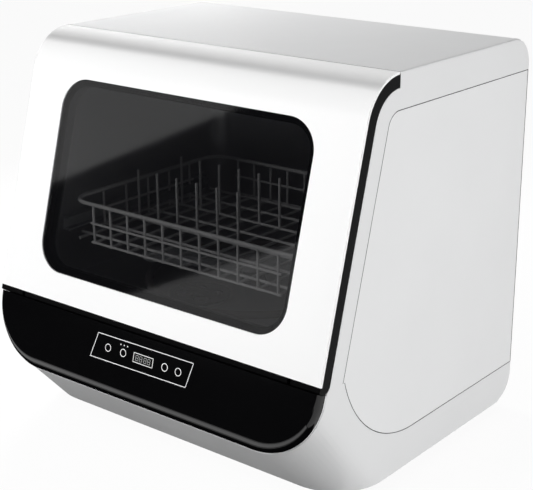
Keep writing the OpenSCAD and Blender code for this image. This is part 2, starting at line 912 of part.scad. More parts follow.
module door_frame() color([0.09, 0.09, 0.1]) {
    difference() {
        along_x(case_w) difference() {
            union() {
                door_band(skin_t, door_t, hinge_up);
                intersection() {
                    translate(hinge) circle(knuckle_r);
                    difference() {
                        front_core(0);
                        front_core(door_t);
                    }
                }
            }
            // the skin's own space
            intersection() {
                door_zone(0);
                difference() {
                    front_core(-1);
                    front_core(skin_t);
                }
            }
        }
        window_cut(skin_t - 1, glass_sink + glass_t);
        window_cut(skin_t, door_t + 5, glass_ledge);
        along_x(case_w - 2 * liner_border) liner_profile();
        tray_place() tray_block(0.2, -0.2);
        tongue_slot(tongue_root);
        for (s = [-1, 1]) {
            hinge_notch(s);
            front_rod(hinge_up, hinge_in, hinge_pin_r + pin_play, hinge_pin_l + 1, s * hinge_x);
            // hollow stiles with ribs between the pockets
            for (i = [0:stile_n - 1])
                front_box(
                    [s * stile_x - stile_w / 2, s * stile_x + stile_w / 2],
                    [stile_low + i * stile_pitch, stile_low + (i + 1) * stile_pitch - stile_rib],
                    [skin_t + 2.5, door_t - liner_t + bond]
                );
        }
    }
}

module door_glass() color([0.15, 0.16, 0.17, 0.6]) {
    window_cut(glass_sink, glass_sink + glass_t, glass_gap);
}

module door_liner() color([0.22, 0.22, 0.23]) {
    difference() {
        along_x(case_w - 2 * liner_border - 0.4) liner_profile();
        window_cut(skin_t, door_t + 5, glass_ledge);
        tray_place() tray_block(0.2, -0.2);
        tongue_slot(tongue_root + 16);
        for (p = liner_screw_places)
            front_plate(door_t - liner_t - 1, door_t + 1) translate(p) circle(1.7);
    }
}

module door_screws() color("silver") {
    for (p = liner_screw_places)
        front_plate(door_t - liner_t, door_t) translate(p) circle(1.7, $fn = 32);
}

// ---- detergent tray on the inside of the door ----

// z runs inwards, away from the glass, from the tray's bottom
module tray_place() {
    on_front(tray_up, tray_front) translate([tray_x, 0, 0]) mirror([0, 0, 1]) children();
}

module tray_block(grow = 0, low = 0) {
    translate([-tray_w / 2 - grow, -tray_h / 2 - grow, low])
        cube([tray_w + 2 * grow, tray_h + 2 * grow, tray_depth - low]);
}

module detergent_tray() color([0.35, 0.36, 0.38]) {
    tray_place() difference() {
        tray_block();
        translate([tray_wall - tray_w / 2, tray_wall - tray_h / 2, tray_wall / 2])
            cube([cup_w, tray_h - 2 * tray_wall, tray_depth]);
        // slot that the lid runs in, open at the right
        translate([1.2 - tray_w / 2, 1.6 - tray_h / 2, tray_depth - 2.5])
            cube([tray_w, tray_h - 3.2, lid_t + 2 * lid_play]);
    }
}

module detergent_lid() color([0.5, 0.52, 0.55]) {
    tray_place() translate([1.6 - tray_w / 2, 0, lid_play + tray_depth - 2.5]) {
        translate([0, 1.9 - tray_h / 2, 0]) cube([cup_w + 4, tray_h - 3.8, lid_t]);
        // ridge for the fingertip
        translate([2.5, 4 - tray_h / 2, lid_play]) cube([2, tray_h - 8, lid_t + 0.9]);
    }
}

// ---- latch ----

// z runs out through the front, y up along the frame, from the middle of the crest
module latch_place() {
    translate([0, crest[0], crest[1]]) rotate([90 - latch_tilt, 0, 0])
        translate([0, latch_rise, 0]) children();
}

// the slot in the door that holds the tongue
module tongue_slot(end) {
    latch_place() translate([-tongue_w / 2, -tongue_t / 2, tongue_end - 4])
        cube([tongue_w, tongue_t, end - tongue_end + 4]);
}

module latch_tongue() color("silver") {
    latch_place() translate([-tongue_w / 2, -tongue_t / 2, tongue_end])
        cube([tongue_w, tongue_t, tongue_root - tongue_end]);
}

// a block of [x], [y], [z] in the latch's own directions that seats on the front frame's back
module behind_frame(x, y, z) {
    intersection() {
        latch_place() translate([x[0], y[0], z[0]])
            cube([x[1] - x[0], y[1] - y[0], z[1] - z[0]]);
        along_x(case_w) flat_core(frame_back);
    }
}

module latch_block() color("dimgray") {
    difference() {
        behind_frame([-tongue_w / 2 - 3, 24], [-5, 5], [21, 40]);
        latch_place() {
            translate([-tongue_w / 2 - 1, -3.5, 10]) cube([tongue_w + 2, 7, 40]);
            translate([tongue_w / 2, 0, plunger_at]) rotate([0, 90, 0])
                cylinder(h = 17, r = plunger_r + turn_play);
        }
    }
}

module latch_plunger() color("silver") {
    latch_place() translate([tongue_w / 2 + plunger_gap, 0, plunger_at]) rotate([0, 90, 0]) {
        translate([0, 0, 1.2]) cylinder(h = 11, r = plunger_r);
        cylinder(h = 1.2, r1 = 1.2, r2 = plunger_r);
    }
}

module door_switch() color("black") {
    behind_frame([-34, -14], [-5, 3], [20, 40]);
}

// ---- tub ----

module half_space_behind(in) {
    polygon([
        front_pt(-90, in), front_pt(far, in), [far, front_pt(far, in)[1]],
        [far, front_pt(-90, in)[1]]
    ]);
}

module tub_form(grow = 0) {
    front = -far / 2;
    back = tub_rear + grow;
    intersection() {
        along_x(tub_w + 2 * grow) intersection() {
            half_space_behind(flange_in + tub_t - grow);
            translate([(front + back) / 2, (tub_floor + tub_top) / 2])
                rounded(back - front, tub_top - tub_floor + 2 * grow, tub_bend_r + grow);
        }
        translate([0, (front + back) / 2, tub_floor - 60]) linear_extrude(case_h)
            rounded(tub_w + 2 * grow, back - front, tub_r + grow);
    }
}

module sump_form(grow = 0) {
    translate([sump_x, sump_y, tub_floor - funnel_depth - grow])
        cylinder(h = funnel_depth + grow, r1 = sump_r + grow, r2 = sump_r + funnel_w + grow);
    translate([sump_x, sump_y, tub_floor - sump_depth - grow])
        cylinder(h = sump_depth - funnel_depth + grow + bond, r = sump_r + grow);
}

module tub() color([0.55, 0.57, 0.6]) {
    difference() {
        union() {
            difference() {
                tub_form(tub_t);
                tub_form(0);
            }
            difference() {
                sump_form(tub_t);
                translate([-far / 2, -far / 2, tub_floor - tub_t / 2]) cube([far, far, 50]);
            }
        }
        sump_form(0);
        front_plate(flange_in - 5, flange_in + tub_t + 5)
            translate([0, mouth_mid]) rounded(mouth_w, mouth_h, mouth_r);
        translate([0, spray_y, tub_floor - 10]) cylinder(h = 20, r = riser_r);
        translate([sump_x, sump_y, sump_z - 10]) cylinder(h = 20, r = suction_bore);
        translate([sump_x, sump_y, drain_z]) rotate([0, 90, 0]) cylinder(h = 60, r = drain_r);
        for (p = heater_ends) translate([p[0], p[1], tub_floor - 10])
            cylinder(h = 20, r = heater_wire);
        translate([fill_x, tub_rear - 5, fill_z]) rotate([-90, 0, 0])
            cylinder(h = 20, r = fill_r - fill_wall);
        translate([fan_x, tub_rear - 5, fan_z]) rotate([-90, 0, 0])
            cylinder(h = 20, r = duct_r - 2);
    }
}

module tub_gasket() color("dimgray") {
    front_plate(door_t + gasket_lift, flange_in) translate([0, mouth_mid]) difference() {
        rounded(gasket_w, mouth_h + 2 * gasket_t, mouth_r + gasket_t);
        rounded(mouth_w, mouth_h, mouth_r);
    }
}

module rack_rails() color("lightgray") {
    for (s = [-1, 1]) mirror([s < 0 ? 1 : 0, 0, 0])
        translate([tub_w / 2 - rail_w, rail_y[0], rail_z - rail_h / 2]) difference() {
            cube([rail_w, rail_y[1] - rail_y[0], rail_h]);
            // the channel, closed at the back by a stop
            translate([-1, -1, rail_t])
                cube([rail_w + 1 - rail_t, rail_y[1] - rail_y[0] - 4, rail_h - 2 * rail_t]);
        }
}

// ---- spray arm, heater and filter ----

module spray_riser() color("dimgray") {
    translate([0, spray_y, 0]) difference() {
        union() {
            translate([0, 0, tub_floor - tub_t])
                cylinder(h = arm_z + spray_t - 0.5 - tub_floor + tub_t, r = riser_r);
            translate([0, 0, tub_floor]) cylinder(h = 3, r = riser_r + 6);
            translate([0, 0, tub_floor + 3])
                cylinder(h = spray_lift - 3.4, r1 = riser_r + 5, r2 = riser_r + 3);
        }
        translate([0, 0, tub_floor - 10]) cylinder(h = 60, r = riser_r - 2.5);
    }
}

module arm_outline(hub, tip, reach) {
    circle(hub);
    for (s = [-1, 1]) {
        translate([s * (reach - tip), 0]) circle(tip);
        polygon([
            [0, hub * 0.86], [s * (reach - tip), tip], [s * (reach - tip), -tip], [0, -hub * 0.86]
        ]);
    }
}

module spray_arm() color("lightgray") {
    c = spray_crown;
    translate([0, spray_y, arm_z]) rotate(spray_turn) difference() {
        union() {
            translate([0, 0, c]) linear_extrude(spray_t - 2 * c)
                arm_outline(spray_hub_r, spray_tip_r, spray_reach);
            linear_extrude(spray_t) arm_outline(spray_hub_r - c, spray_tip_r - c, spray_reach - c);
        }
        translate([0, 0, -1]) cylinder(h = spray_t + 2, r = riser_r + turn_play);
        // water jets, closer together towards the tips
        for (s = [-1, 1], i = [0:4])
            translate([s * (spray_reach - 14 - i * i * 3 - i * 11), s * (i % 2 == 0 ? 3 : -3),
                       spray_t - 3])
                rotate([s * 12, 0, 0]) cylinder(h = 6, r = 1.5, $fn = 24);
    }
}

module spray_cap() color("gray") {
    translate([0, spray_y, arm_z + spray_t]) difference() {
        union() {
            cylinder(h = 2.5, r = riser_r + 5);
            translate([0, 0, 2.5]) cylinder(h = 4, r1 = riser_r, r2 = riser_r - 3);
        }
        for (a = [0:60:300]) rotate(a)
            translate([riser_r + 5, 0, -1]) cylinder(h = 5, r = 1.6, $fn = 24);
    }
}

module heater() color([0.45, 0.42, 0.4]) {
    translate([0, spray_y, tub_floor + heater_lift])
        rotate(90 + heater_gap_a) rotate_extrude(angle = 360 - 2 * heater_gap_a)
            translate([heater_r, 0]) circle(heater_wire, $fn = 32);
    for (p = heater_ends) translate([p[0], p[1], 0]) {
        translate([0, 0, tub_floor - 9]) cylinder(h = 10, r = heater_wire);
        // ceramic end fitting
        translate([0, 0, tub_floor])
            cylinder(h = heater_lift + heater_wire + 1.5, r = heater_wire + 1.6);
    }
    for (a = [0, 150, 210]) translate([heater_r * cos(a), spray_y + heater_r * sin(a), tub_floor])
        cylinder(h = heater_lift - 2, r = 2.5);
}

module filter_cup() color([0.6, 0.62, 0.64]) {
    translate([sump_x, sump_y, 0]) difference() {
        union() {
            translate([0, 0, filter_z - filter_h]) cylinder(h = filter_h + 1, r = filter_r);
            translate([0, 0, filter_z + 1]) cylinder(h = 2, r = filter_r + 2);
        }
        translate([0, 0, filter_z - filter_h + filter_wall])
            cylinder(h = filter_h + 5, r = filter_r - filter_wall);
        for (a = [0:15:345]) rotate(a)
            translate([filter_r - 4, -1.4, filter_z - filter_h + 4]) cube([8, 2.8, filter_h - 6]);
        for (x = [-18:6:18]) translate([x - 1.2, -18, filter_z - filter_h - 1]) cube([2.4, 36, 5]);
    }
}

module filter_grip() color([0.3, 0.32, 0.35]) {
    translate([sump_x, sump_y, filter_z + 3]) {
        difference() {
            cylinder(h = 2, r = filter_r + 1);
            for (a = [45:90:315]) rotate(a) translate([17, 0, -1]) cylinder(h = 5, r = 9);
        }
        translate([-24, -2.5, 2]) cube([48, 5, 6]);
    }
}

// ---- pumps, water and air ----

module pipe_bend(bend, r) {
    rotate_extrude(angle = 90) translate([bend, 0]) circle(r);
}

// the way from under the sump down and round to the pump, with the radius r
module suction_way(r, over = 0) {
    run = casing_y[0] - sump_y - suction_bend;
    drop = sump_z - tub_t - pump_z - suction_bend;
    translate([0, sump_y, pump_z + suction_bend]) cylinder(h = drop + over, r = r);
    translate([0, sump_y + suction_bend, pump_z + suction_bend])
        rotate([90, 0, 90]) rotate(180) pipe_bend(suction_bend, r);
    translate([0, casing_y[0] + over, pump_z]) rotate([90, 0, 0]) cylinder(h = run + over, r = r);
}

module suction_elbow() color("black") {
    translate([sump_x, 0, 0]) difference() {
        suction_way(suction_r);
        suction_way(suction_bore, 1);
    }
}

module wash_pump_housing() color("dimgray") {
    difference() {
        union() {
            translate([pump_x, casing_y[1], pump_z]) rotate([90, 0, 0])
                cylinder(h = casing_y[1] - casing_y[0], r = pump_r);
            translate([0, spray_y, pump_z]) cylinder(h = tub_floor - tub_t - pump_z, r = 11);
            translate([pump_x - 18, casing_y[0] + 3, pump_floor])
                cube([36, casing_y[1] - casing_y[0] - 6, pump_z - pump_floor - 20]);
        }
        translate([pump_x, casing_y[1] - 3, pump_z]) rotate([90, 0, 0])
            cylinder(h = casing_y[1] - casing_y[0] - 6, r = pump_r - 4);
        translate([0, spray_y, pump_z]) cylinder(h = tub_floor, r = suction_bore);
        translate([pump_x, casing_y[0] + 10, pump_z]) rotate([90, 0, 0])
            cylinder(h = 20, r = suction_bore);
        translate([pump_x, casing_y[1] + 1, pump_z]) rotate([90, 0, 0])
            cylinder(h = 8, r = shaft_r + turn_play);
    }
}

module wash_motor() color("silver") {
    difference() {
        union() {
            translate([pump_x, motor_y[1], pump_z]) rotate([90, 0, 0])
                cylinder(h = motor_y[1] - motor_y[0], r = motor_r);
            translate([pump_x, motor_y[0], pump_z]) rotate([90, 0, 0]) cylinder(h = 3, r = 20);
            for (y = [motor_y[0] + 12, motor_y[1] - 20])
                translate([pump_x - 26, y, pump_floor]) cube([52, 8, pump_z - pump_floor - 20]);
        }
        translate([pump_x, motor_y[0] + 40, pump_z]) rotate([90, 0, 0])
            cylinder(h = 60, r = shaft_r + turn_play);
        // cooling ribs
        for (i = [1:5])
            translate([pump_x, motor_y[0] + i * rib_pitch + 3, pump_z]) rotate([90, 0, 0])
            difference() {
                cylinder(h = 5, r = motor_r + 2);
                cylinder(h = 12, r = motor_r - 2.5, center = true);
            }
    }
}

module wash_impeller() color("black") {
    translate([pump_x, spray_y, pump_z]) rotate([-90, 0, 0]) {
        translate([0, 0, 4]) cylinder(h = 3, r = impeller_r);
        translate([0, 0, 4]) cylinder(h = motor_y[0] + 30 - spray_y, r = shaft_r);
        translate([0, 0, -4]) cylinder(h = 8, r = shaft_r + 3);
        for (a = [0:60:300]) rotate(a) translate([shaft_r, -1, -6]) rotate(-14)
            cube([impeller_r - shaft_r - 1.5, 2, 11]);
    }
}

// a bar along X on the drain pump's axis
module drain_rod(x0, x1, r) {
    translate([x0, sump_y, drain_z]) rotate([0, 90, 0]) cylinder(h = x1 - x0, r = r);
}

module drain_pump_housing() color("dimgray") {
    end = drain_x1 + drain_case_w;
    difference() {
        union() {
            drain_rod(drain_x0, drain_x1 + 1, drain_r + 2);
            drain_rod(drain_x1, end, drain_case_r);
            rear_rod(spigot_at, sump_y + 2, drain_out_y, drain_pipe_r + 0.8);
        }
        drain_rod(drain_x0 - 5, drain_x1 + 11, drain_r);
        drain_rod(drain_x1 + 2, end - 2.5, drain_case_r - 3);
        rear_rod(spigot_at, sump_y + 2, drain_out_y + 1, spigot_r - spigot_wall);
        drain_rod(end - 5, end + 5, drain_shaft_r + turn_play);
    }
}

module drain_motor() color("silver") {
    x = drain_x1 + drain_case_w;
    difference() {
        union() {
            drain_rod(x, x + 40, 17);
            drain_rod(x + 6, x + 32, 18);
        }
        drain_rod(x - 1, x + 20, drain_shaft_r + turn_play);
    }
}

module drain_impeller() color("black") {
    translate([drain_x1 + 3, sump_y, drain_z]) rotate([0, 90, 0]) {
        translate([0, 0, 9]) cylinder(h = 2, r = drain_case_r - 5);
        translate([0, 0, 1]) cylinder(h = 31, r = drain_shaft_r);
        for (a = [0:45:315]) rotate(a) translate([2, -0.8, 1])
            cube([drain_case_r - 8, 1.6, 8 + bond]);
    }
}

module drain_tube() color("gray") {
    difference() {
        union() {
            rear_rod(spigot_at, drain_out_y, spout_root + bond, drain_pipe_r);
            rear_rod(spigot_at, pocket_y - 3, pocket_y, drain_pipe_r + 5);
            rear_rod(spigot_at, spout_root, spout_end, spigot_r);
        }
        rear_rod(spigot_at, drain_out_y - 1, spout_end + 1, spigot_r - spigot_wall);
    }
}

module inlet_valve() color("whitesmoke") {
    difference() {
        union() {
            rear_rod(spout_at, spout_root, spout_end, spout_r);
            rear_rod(spout_at, pocket_y - 6, spout_root + bond, spout_r - hole_gap);
            rear_rod(spout_at, pocket_y - 4, pocket_y, spout_r + 4);
            translate([spout_at[0] - 18, pocket_y - 38, spout_at[1] - 20]) cube([36, 34 + bond, 40]);
            // the coil
            translate([spout_at[0], pocket_y - 21, spout_at[1] + 20 - bond])
                cylinder(h = 20, r = 14);
        }
        rear_rod(spout_at, pocket_y - 4, spout_end + 1, spout_r - spout_wall);
    }
}

module fill_tube() color("ghostwhite") {
    y = tub_rear + tub_t + fill_bend;
    x0 = spout_at[0] + 18;
    z0 = spout_at[1];
    bend = fill_x - x0 - 4;
    difference() {
        union() {
            translate([x0, y, z0]) rotate([0, 90, 0]) cylinder(h = 4, r = fill_r);
            translate([x0 + 4, y, z0 + bend]) rotate([90, 0, 0]) rotate(270) pipe_bend(bend, fill_r);
            translate([fill_x, y, z0 + bend]) cylinder(h = fill_z - fill_bend - z0 - bend, r = fill_r);
            translate([fill_x, y - fill_bend, fill_z - fill_bend]) rotate([90, 0, 90])
                pipe_bend(fill_bend, fill_r);
        }
        translate([fill_x, y - fill_bend, fill_z - fill_bend]) rotate([90, 0, 90])
            pipe_bend(fill_bend, fill_r - fill_wall);
        translate([fill_x, y, z0 + bend + 5])
            cylinder(h = fill_z - fill_bend - z0 - bend - 5 + 0.01, r = fill_r - fill_wall);
    }
}

module power_inlet() color([0.12, 0.12, 0.12]) {
    y = rear_y - 0.3;
    difference() {
        union() {
            rear_plate(socket_at, y - socket_depth, y)
                square([socket_w - 0.6, socket_h - 0.6], center = true);
            rear_plate(socket_at, rear_y - rear_t - 3, rear_y - rear_t)
                square([socket_w + 8, socket_h + 8], center = true);
        }
        rear_plate(socket_at, y - 16, y + 1) rounded(socket_w - 7, socket_h - 8, 3);
    }
    // contacts
    for (p = [[-6, 2], [6, 2], [0, -3]])
        rear_plate(socket_at + p, y - 18, y - 5) square([2, 4], center = true);
}

module power_board() color("darkgreen") {
    translate([board_x, board_y, pump_floor + board_lift]) {
        cube([board_d, board_l, board_t]);
        translate([8, 12, board_t - bond]) cube([24, 30, 22]);
        translate([40, 14, board_t - bond]) cube([30, 8, 26]);
        for (i = [0:3]) translate([16 + i * 15, 68, board_t - bond]) cylinder(h = 18, r = 6);
        for (i = [0:2]) translate([8 + i * 22, 92, board_t - bond]) cube([18, 14, 16]);
        // feet
        for (x = [6, board_d - 6], y = [6, board_l - 6])
            translate([x, y, -board_lift]) cylinder(h = board_lift + bond, r = 3.5);
    }
}

module fan_housing() color("dimgray") {
    translate([fan_x, fan_y[0], fan_z]) rotate([-90, 0, 0]) {
        difference() {
            cylinder(h = fan_depth, r = fan_r + 7);
            translate([0, 0, 3]) cylinder(h = fan_depth, r = fan_r + 4);
            translate([0, 0, -1]) cylinder(h = 10, r = duct_r);
        }
        difference() {
            union() {
                translate([0, 0, fan_depth - 8]) cylinder(h = 8, r = 11);
                for (a = [30, 150, 270]) rotate(a) translate([5, -2.5, fan_depth - 5])
                    cube([fan_r + 0.5, 5, 3]);
            }
            translate([0, 0, fan_depth - 9]) cylinder(h = 7, r = fan_shaft_r + turn_play);
        }
    }
}

module fan_wheel() color("black") {
    translate([fan_x, fan_y[0], fan_z]) rotate([-90, 0, 0]) {
        translate([0, 0, 6]) cylinder(h = fan_depth - 15, r = 8);
        translate([0, 0, 6]) cylinder(h = 2, r = fan_r);
        translate([0, 0, 8]) cylinder(h = fan_depth - 11, r = fan_shaft_r);
        for (a = [0:30:330]) rotate(a) translate([7, -0.8, 6]) rotate(12)
            cube([fan_r - 9, 1.6, fan_depth - 17]);
    }
}

// ---- rack ----

module wire_x(x0, x1, y, z, r) {
    translate([x0, y, z]) rotate([0, 90, 0]) cylinder(h = x1 - x0, r = r, $fn = 24);
}

module wire_y(x, y0, y1, z, r) {
    translate([x, y0, z]) rotate([-90, 0, 0]) cylinder(h = y1 - y0, r = r, $fn = 24);
}

module wire_z(x, y, z0, z1, r) {
    translate([x, y, z0]) cylinder(h = z1 - z0, r = r, $fn = 24);
}

module rack_floor() color("whitesmoke") {
    for (x = long_x) wire_y(x, rack_front_y + wall_r, rack_rear_y - wall_r, rack_floor_z, wire_r);
    for (y = row_y) wire_x(-rack_half + wall_r, rack_half - wall_r, y, cross_z, wire_r);
}

// a level closed loop of wire with round corners
module wire_loop(x, y, z, bend, r) {
    mid = (x[0] + x[1]) / 2;
    dx = (x[1] - x[0]) / 2 - bend;
    for (at = x) wire_y(at, y[0] + bend, y[1] - bend, z, r);
    for (at = y) wire_x(mid - dx, mid + dx, at, z, r);
    for (sx = [-1, 1], e = [0, 1])
        translate([mid + sx * dx, e == 1 ? y[1] - bend : y[0] + bend, z])
            rotate(e == 1 ? (sx > 0 ? 0 : 90) : (sx > 0 ? 270 : 180))
                rotate_extrude(angle = 90) translate([bend, 0]) circle(r, $fn = 24);
}

module rack_rim() color("whitesmoke") {
    wire_loop([-rack_half, rack_half], [rack_front_y, rack_rear_y], rim_z, rim_bend_r, rim_wire_r);
}

module rack_walls() color("whitesmoke") {
    top = rim_z - rim_wire_r + 0.4;
    mid = (rack_floor_z + rim_z) / 2;
    wall_x = [for (x = long_x) if (abs(x) < rack_half - rim_bend_r) x];
    wall_y = [
        for (y = row_y)
            if (y > rack_front_y + rim_bend_r && y < rack_rear_y - rim_bend_r) y
    ];
    for (y = [rack_front_y, rack_rear_y]) {
        for (x = wall_x) wire_z(x, y, rack_floor_z - wire_r, top, wall_r);
        wire_x(wall_x[0] - 4, wall_x[len(wall_x) - 1] + 4, y, mid, wall_r);
        wire_x(wall_x[0] - 4, wall_x[len(wall_x) - 1] + 4, y, rack_floor_z, wall_r);
    }
    for (s = [-1, 1]) {
        for (y = wall_y) wire_z(s * rack_half, y, rack_floor_z - wire_r, top, wall_r);
        wire_y(s * rack_half, wall_y[0] - 6, wall_y[len(wall_y) - 1] + 6, mid, wall_r);
        wire_y(s * rack_half, wall_y[0] - 6, wall_y[len(wall_y) - 1] + 6, cross_z, wall_r);
    }
}

module rack_prongs() color("whitesmoke") {
    for (y = prong_rows, x = prong_x)
        wire_z(x, y, cross_z + wire_r - 0.15, cross_z + wire_r + prong_h, wire_r);
}

module rack_glides() color("gray") {
    for (s = [-1, 1]) mirror([s < 0 ? 1 : 0, 0, 0]) difference() {
        translate([rack_half - 2.5, glide_y[0], rail_z - rail_h / 2 + rail_t + rail_play])
            cube([
                tub_w / 2 - rail_t - 0.5 - rack_half + 2.5, glide_y[1] - glide_y[0],
                rail_h - 2 * (rail_t + rail_play)
            ]);
        for (y = row_y) wire_z(rack_half, y, rail_z - 20, rail_z + 20, wall_r);
    }
}

// ---- cutlery basket ----

// a flat upright grille of wires across X or Y, from one end to the other
module grille(ends, count, low = 0.35) {
    r = basket_wire_r;
    rail_low = basket_z[0] + (basket_z[1] - basket_z[0]) * low;
    rail_high = basket_z[0] + (basket_z[1] - basket_z[0]) * 0.72;
    pitch = (ends[1] - ends[0]) / count;
    for (k = [0:count])
        wire_z(ends[0] + k * pitch, 0, basket_z[0] + basket_rim_r - 0.4,
               basket_z[1] - basket_rim_r + 0.4, r);
    for (z = [rail_low, rail_high]) wire_x(ends[0] - 2.5, ends[1] + 2.5, 0, z, r);
}

module cutlery_basket() color("whitesmoke") {
    edge = basket_bend_r + 1;
    span_x = [basket_x[0] + edge, basket_x[1] - edge];
    span_y = [basket_y[0] + edge, basket_y[1] - edge];
    for (i = [0:basket_cells]) {
        y = basket_y[0] + i * (basket_y[1] - basket_y[0]) / basket_cells;
        translate([0, y, 0]) grille(span_x, basket_n);
    }
    for (x = basket_x)
        translate([x, 0, 0]) rotate(90) grille(span_y, 2 * basket_n);
}

module basket_rim() color("whitesmoke") {
    wire_loop(basket_x, basket_y, basket_z[1], basket_bend_r, basket_rim_r);
    for (i = [1:basket_cells - 1])
        wire_x(basket_x[0], basket_x[1],
               basket_y[0] + i * (basket_y[1] - basket_y[0]) / basket_cells, basket_z[1],
               basket_rim_r - 0.2);
}

module basket_floor() color("whitesmoke") {
    n = 3 * basket_cells;
    wire_loop(basket_x, basket_y, basket_z[0], basket_bend_r, basket_rim_r);
    for (i = [1:n - 1])
        wire_x(basket_x[0], basket_x[1], basket_y[0] + i * (basket_y[1] - basket_y[0]) / n,
               basket_z[0], i % 3 == 0 ? basket_rim_r - 0.2 : basket_wire_r);
    for (i = [1:basket_n - 1])
        wire_y(basket_x[0] + i * (basket_x[1] - basket_x[0]) / basket_n, basket_y[0],
               basket_y[1], basket_z[0], basket_wire_r * 0.9);
}

// an arched grip that clips over the rim at both ends
module basket_handle() color("gray") {
    r = basket_d / 2 + 4;
    z = basket_z[1];
    difference() {
        translate([(basket_x[0] + basket_x[1] - handle_w) / 2, (basket_y[0] + basket_y[1]) / 2, z])
            rotate([90, 0, 90]) linear_extrude(handle_w) difference() {
                intersection() {
                    translate([0, handle_rise - r]) circle(r);
                    translate([-basket_d / 2, 0]) square([basket_d, 2 * handle_rise]);
                }
                translate([0, handle_rise - handle_t - r]) circle(r);
            }
        for (y = basket_y) wire_x(basket_x[0], basket_x[1], y, z, basket_rim_r);
    }
}

main_housing();
side_panel_left();
side_panel_right();
rear_cover();
rear_screws();
base_pan();
base_screws();
feet();
front_frame();
panel_bezel();
control_panel();
display_window();
control_board();
touch_springs();
hinge_brackets();
hinge_pins();
tub();
tub_gasket();
rack_rails();
spray_riser();
heater();
suction_elbow();
wash_pump_housing();
wash_motor();
wash_impeller();
drain_pump_housing();
drain_motor();
drain_impeller();
drain_tube();
inlet_valve();
fill_tube();
power_inlet();
power_board();
fan_housing();
fan_wheel();
latch_block();
latch_plunger();
door_switch();
door_skin();
door_frame();
door_glass();
door_liner();
door_screws();
latch_tongue();
detergent_tray();
detergent_lid();
filter_cup();
filter_grip();
spray_arm();
spray_cap();
rack_floor();
rack_rim();
rack_walls();
rack_prongs();
rack_glides();
cutlery_basket();
basket_rim();
basket_floor();
basket_handle();
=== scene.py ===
import json
import math

import bmesh
import bpy
from mathutils import Matrix, Vector


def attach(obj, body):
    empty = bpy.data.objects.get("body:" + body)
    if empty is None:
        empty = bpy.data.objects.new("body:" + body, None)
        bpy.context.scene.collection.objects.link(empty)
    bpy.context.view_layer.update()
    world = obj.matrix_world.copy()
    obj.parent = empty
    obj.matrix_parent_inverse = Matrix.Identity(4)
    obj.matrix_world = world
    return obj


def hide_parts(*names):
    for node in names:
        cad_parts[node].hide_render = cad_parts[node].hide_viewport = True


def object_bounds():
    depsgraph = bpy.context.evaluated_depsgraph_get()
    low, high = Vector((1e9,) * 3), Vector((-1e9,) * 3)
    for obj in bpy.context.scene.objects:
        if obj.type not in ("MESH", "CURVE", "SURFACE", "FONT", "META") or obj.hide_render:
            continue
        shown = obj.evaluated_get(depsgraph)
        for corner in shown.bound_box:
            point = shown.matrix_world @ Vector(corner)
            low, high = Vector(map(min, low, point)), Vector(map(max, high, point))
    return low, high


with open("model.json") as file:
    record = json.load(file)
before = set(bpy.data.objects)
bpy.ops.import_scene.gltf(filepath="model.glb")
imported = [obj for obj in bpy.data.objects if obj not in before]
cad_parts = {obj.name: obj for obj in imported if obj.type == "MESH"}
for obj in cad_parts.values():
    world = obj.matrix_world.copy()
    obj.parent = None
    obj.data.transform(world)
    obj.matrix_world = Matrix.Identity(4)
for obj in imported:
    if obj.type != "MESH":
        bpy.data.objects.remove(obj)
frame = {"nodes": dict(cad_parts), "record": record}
cad_box = [list(corner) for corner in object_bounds()]

# Sizes are in millimetres here and become metres with MM. The stage's sizes are in metres.
MM = 0.001
# Lean of the front face away from upright
LEAN = math.radians(15.6)
# The door's lower front edge, as (y, z)
DOOR_FOOT = (-177.535, 153.2)
# Centre (y, z) and radius of the bend from the front to the top
CREST = (-57.946, 377.0)
CREST_R = 55.0
HALF_W = 225.0
REAR_Y = 196.5
WALL = 3.0

# ---- nodes of a material ----


class Link:
    """An output of a finish's nodes that sums can be written with."""

    def __init__(self, finish, socket):
        self.finish = finish
        self.socket = socket

    def _sum(self, kind, *terms):
        return self.finish.node("ShaderNodeMath", {"operation": kind}, dict(enumerate(terms)))

    def __add__(self, other):
        return self._sum("ADD", self, other)

    def __radd__(self, other):
        return self._sum("ADD", other, self)

    def __sub__(self, other):
        return self._sum("SUBTRACT", self, other)

    def __rsub__(self, other):
        return self._sum("SUBTRACT", other, self)

    def __mul__(self, other):
        return self._sum("MULTIPLY", self, other)

    def __lt__(self, other):
        return self._sum("LESS_THAN", self, other)


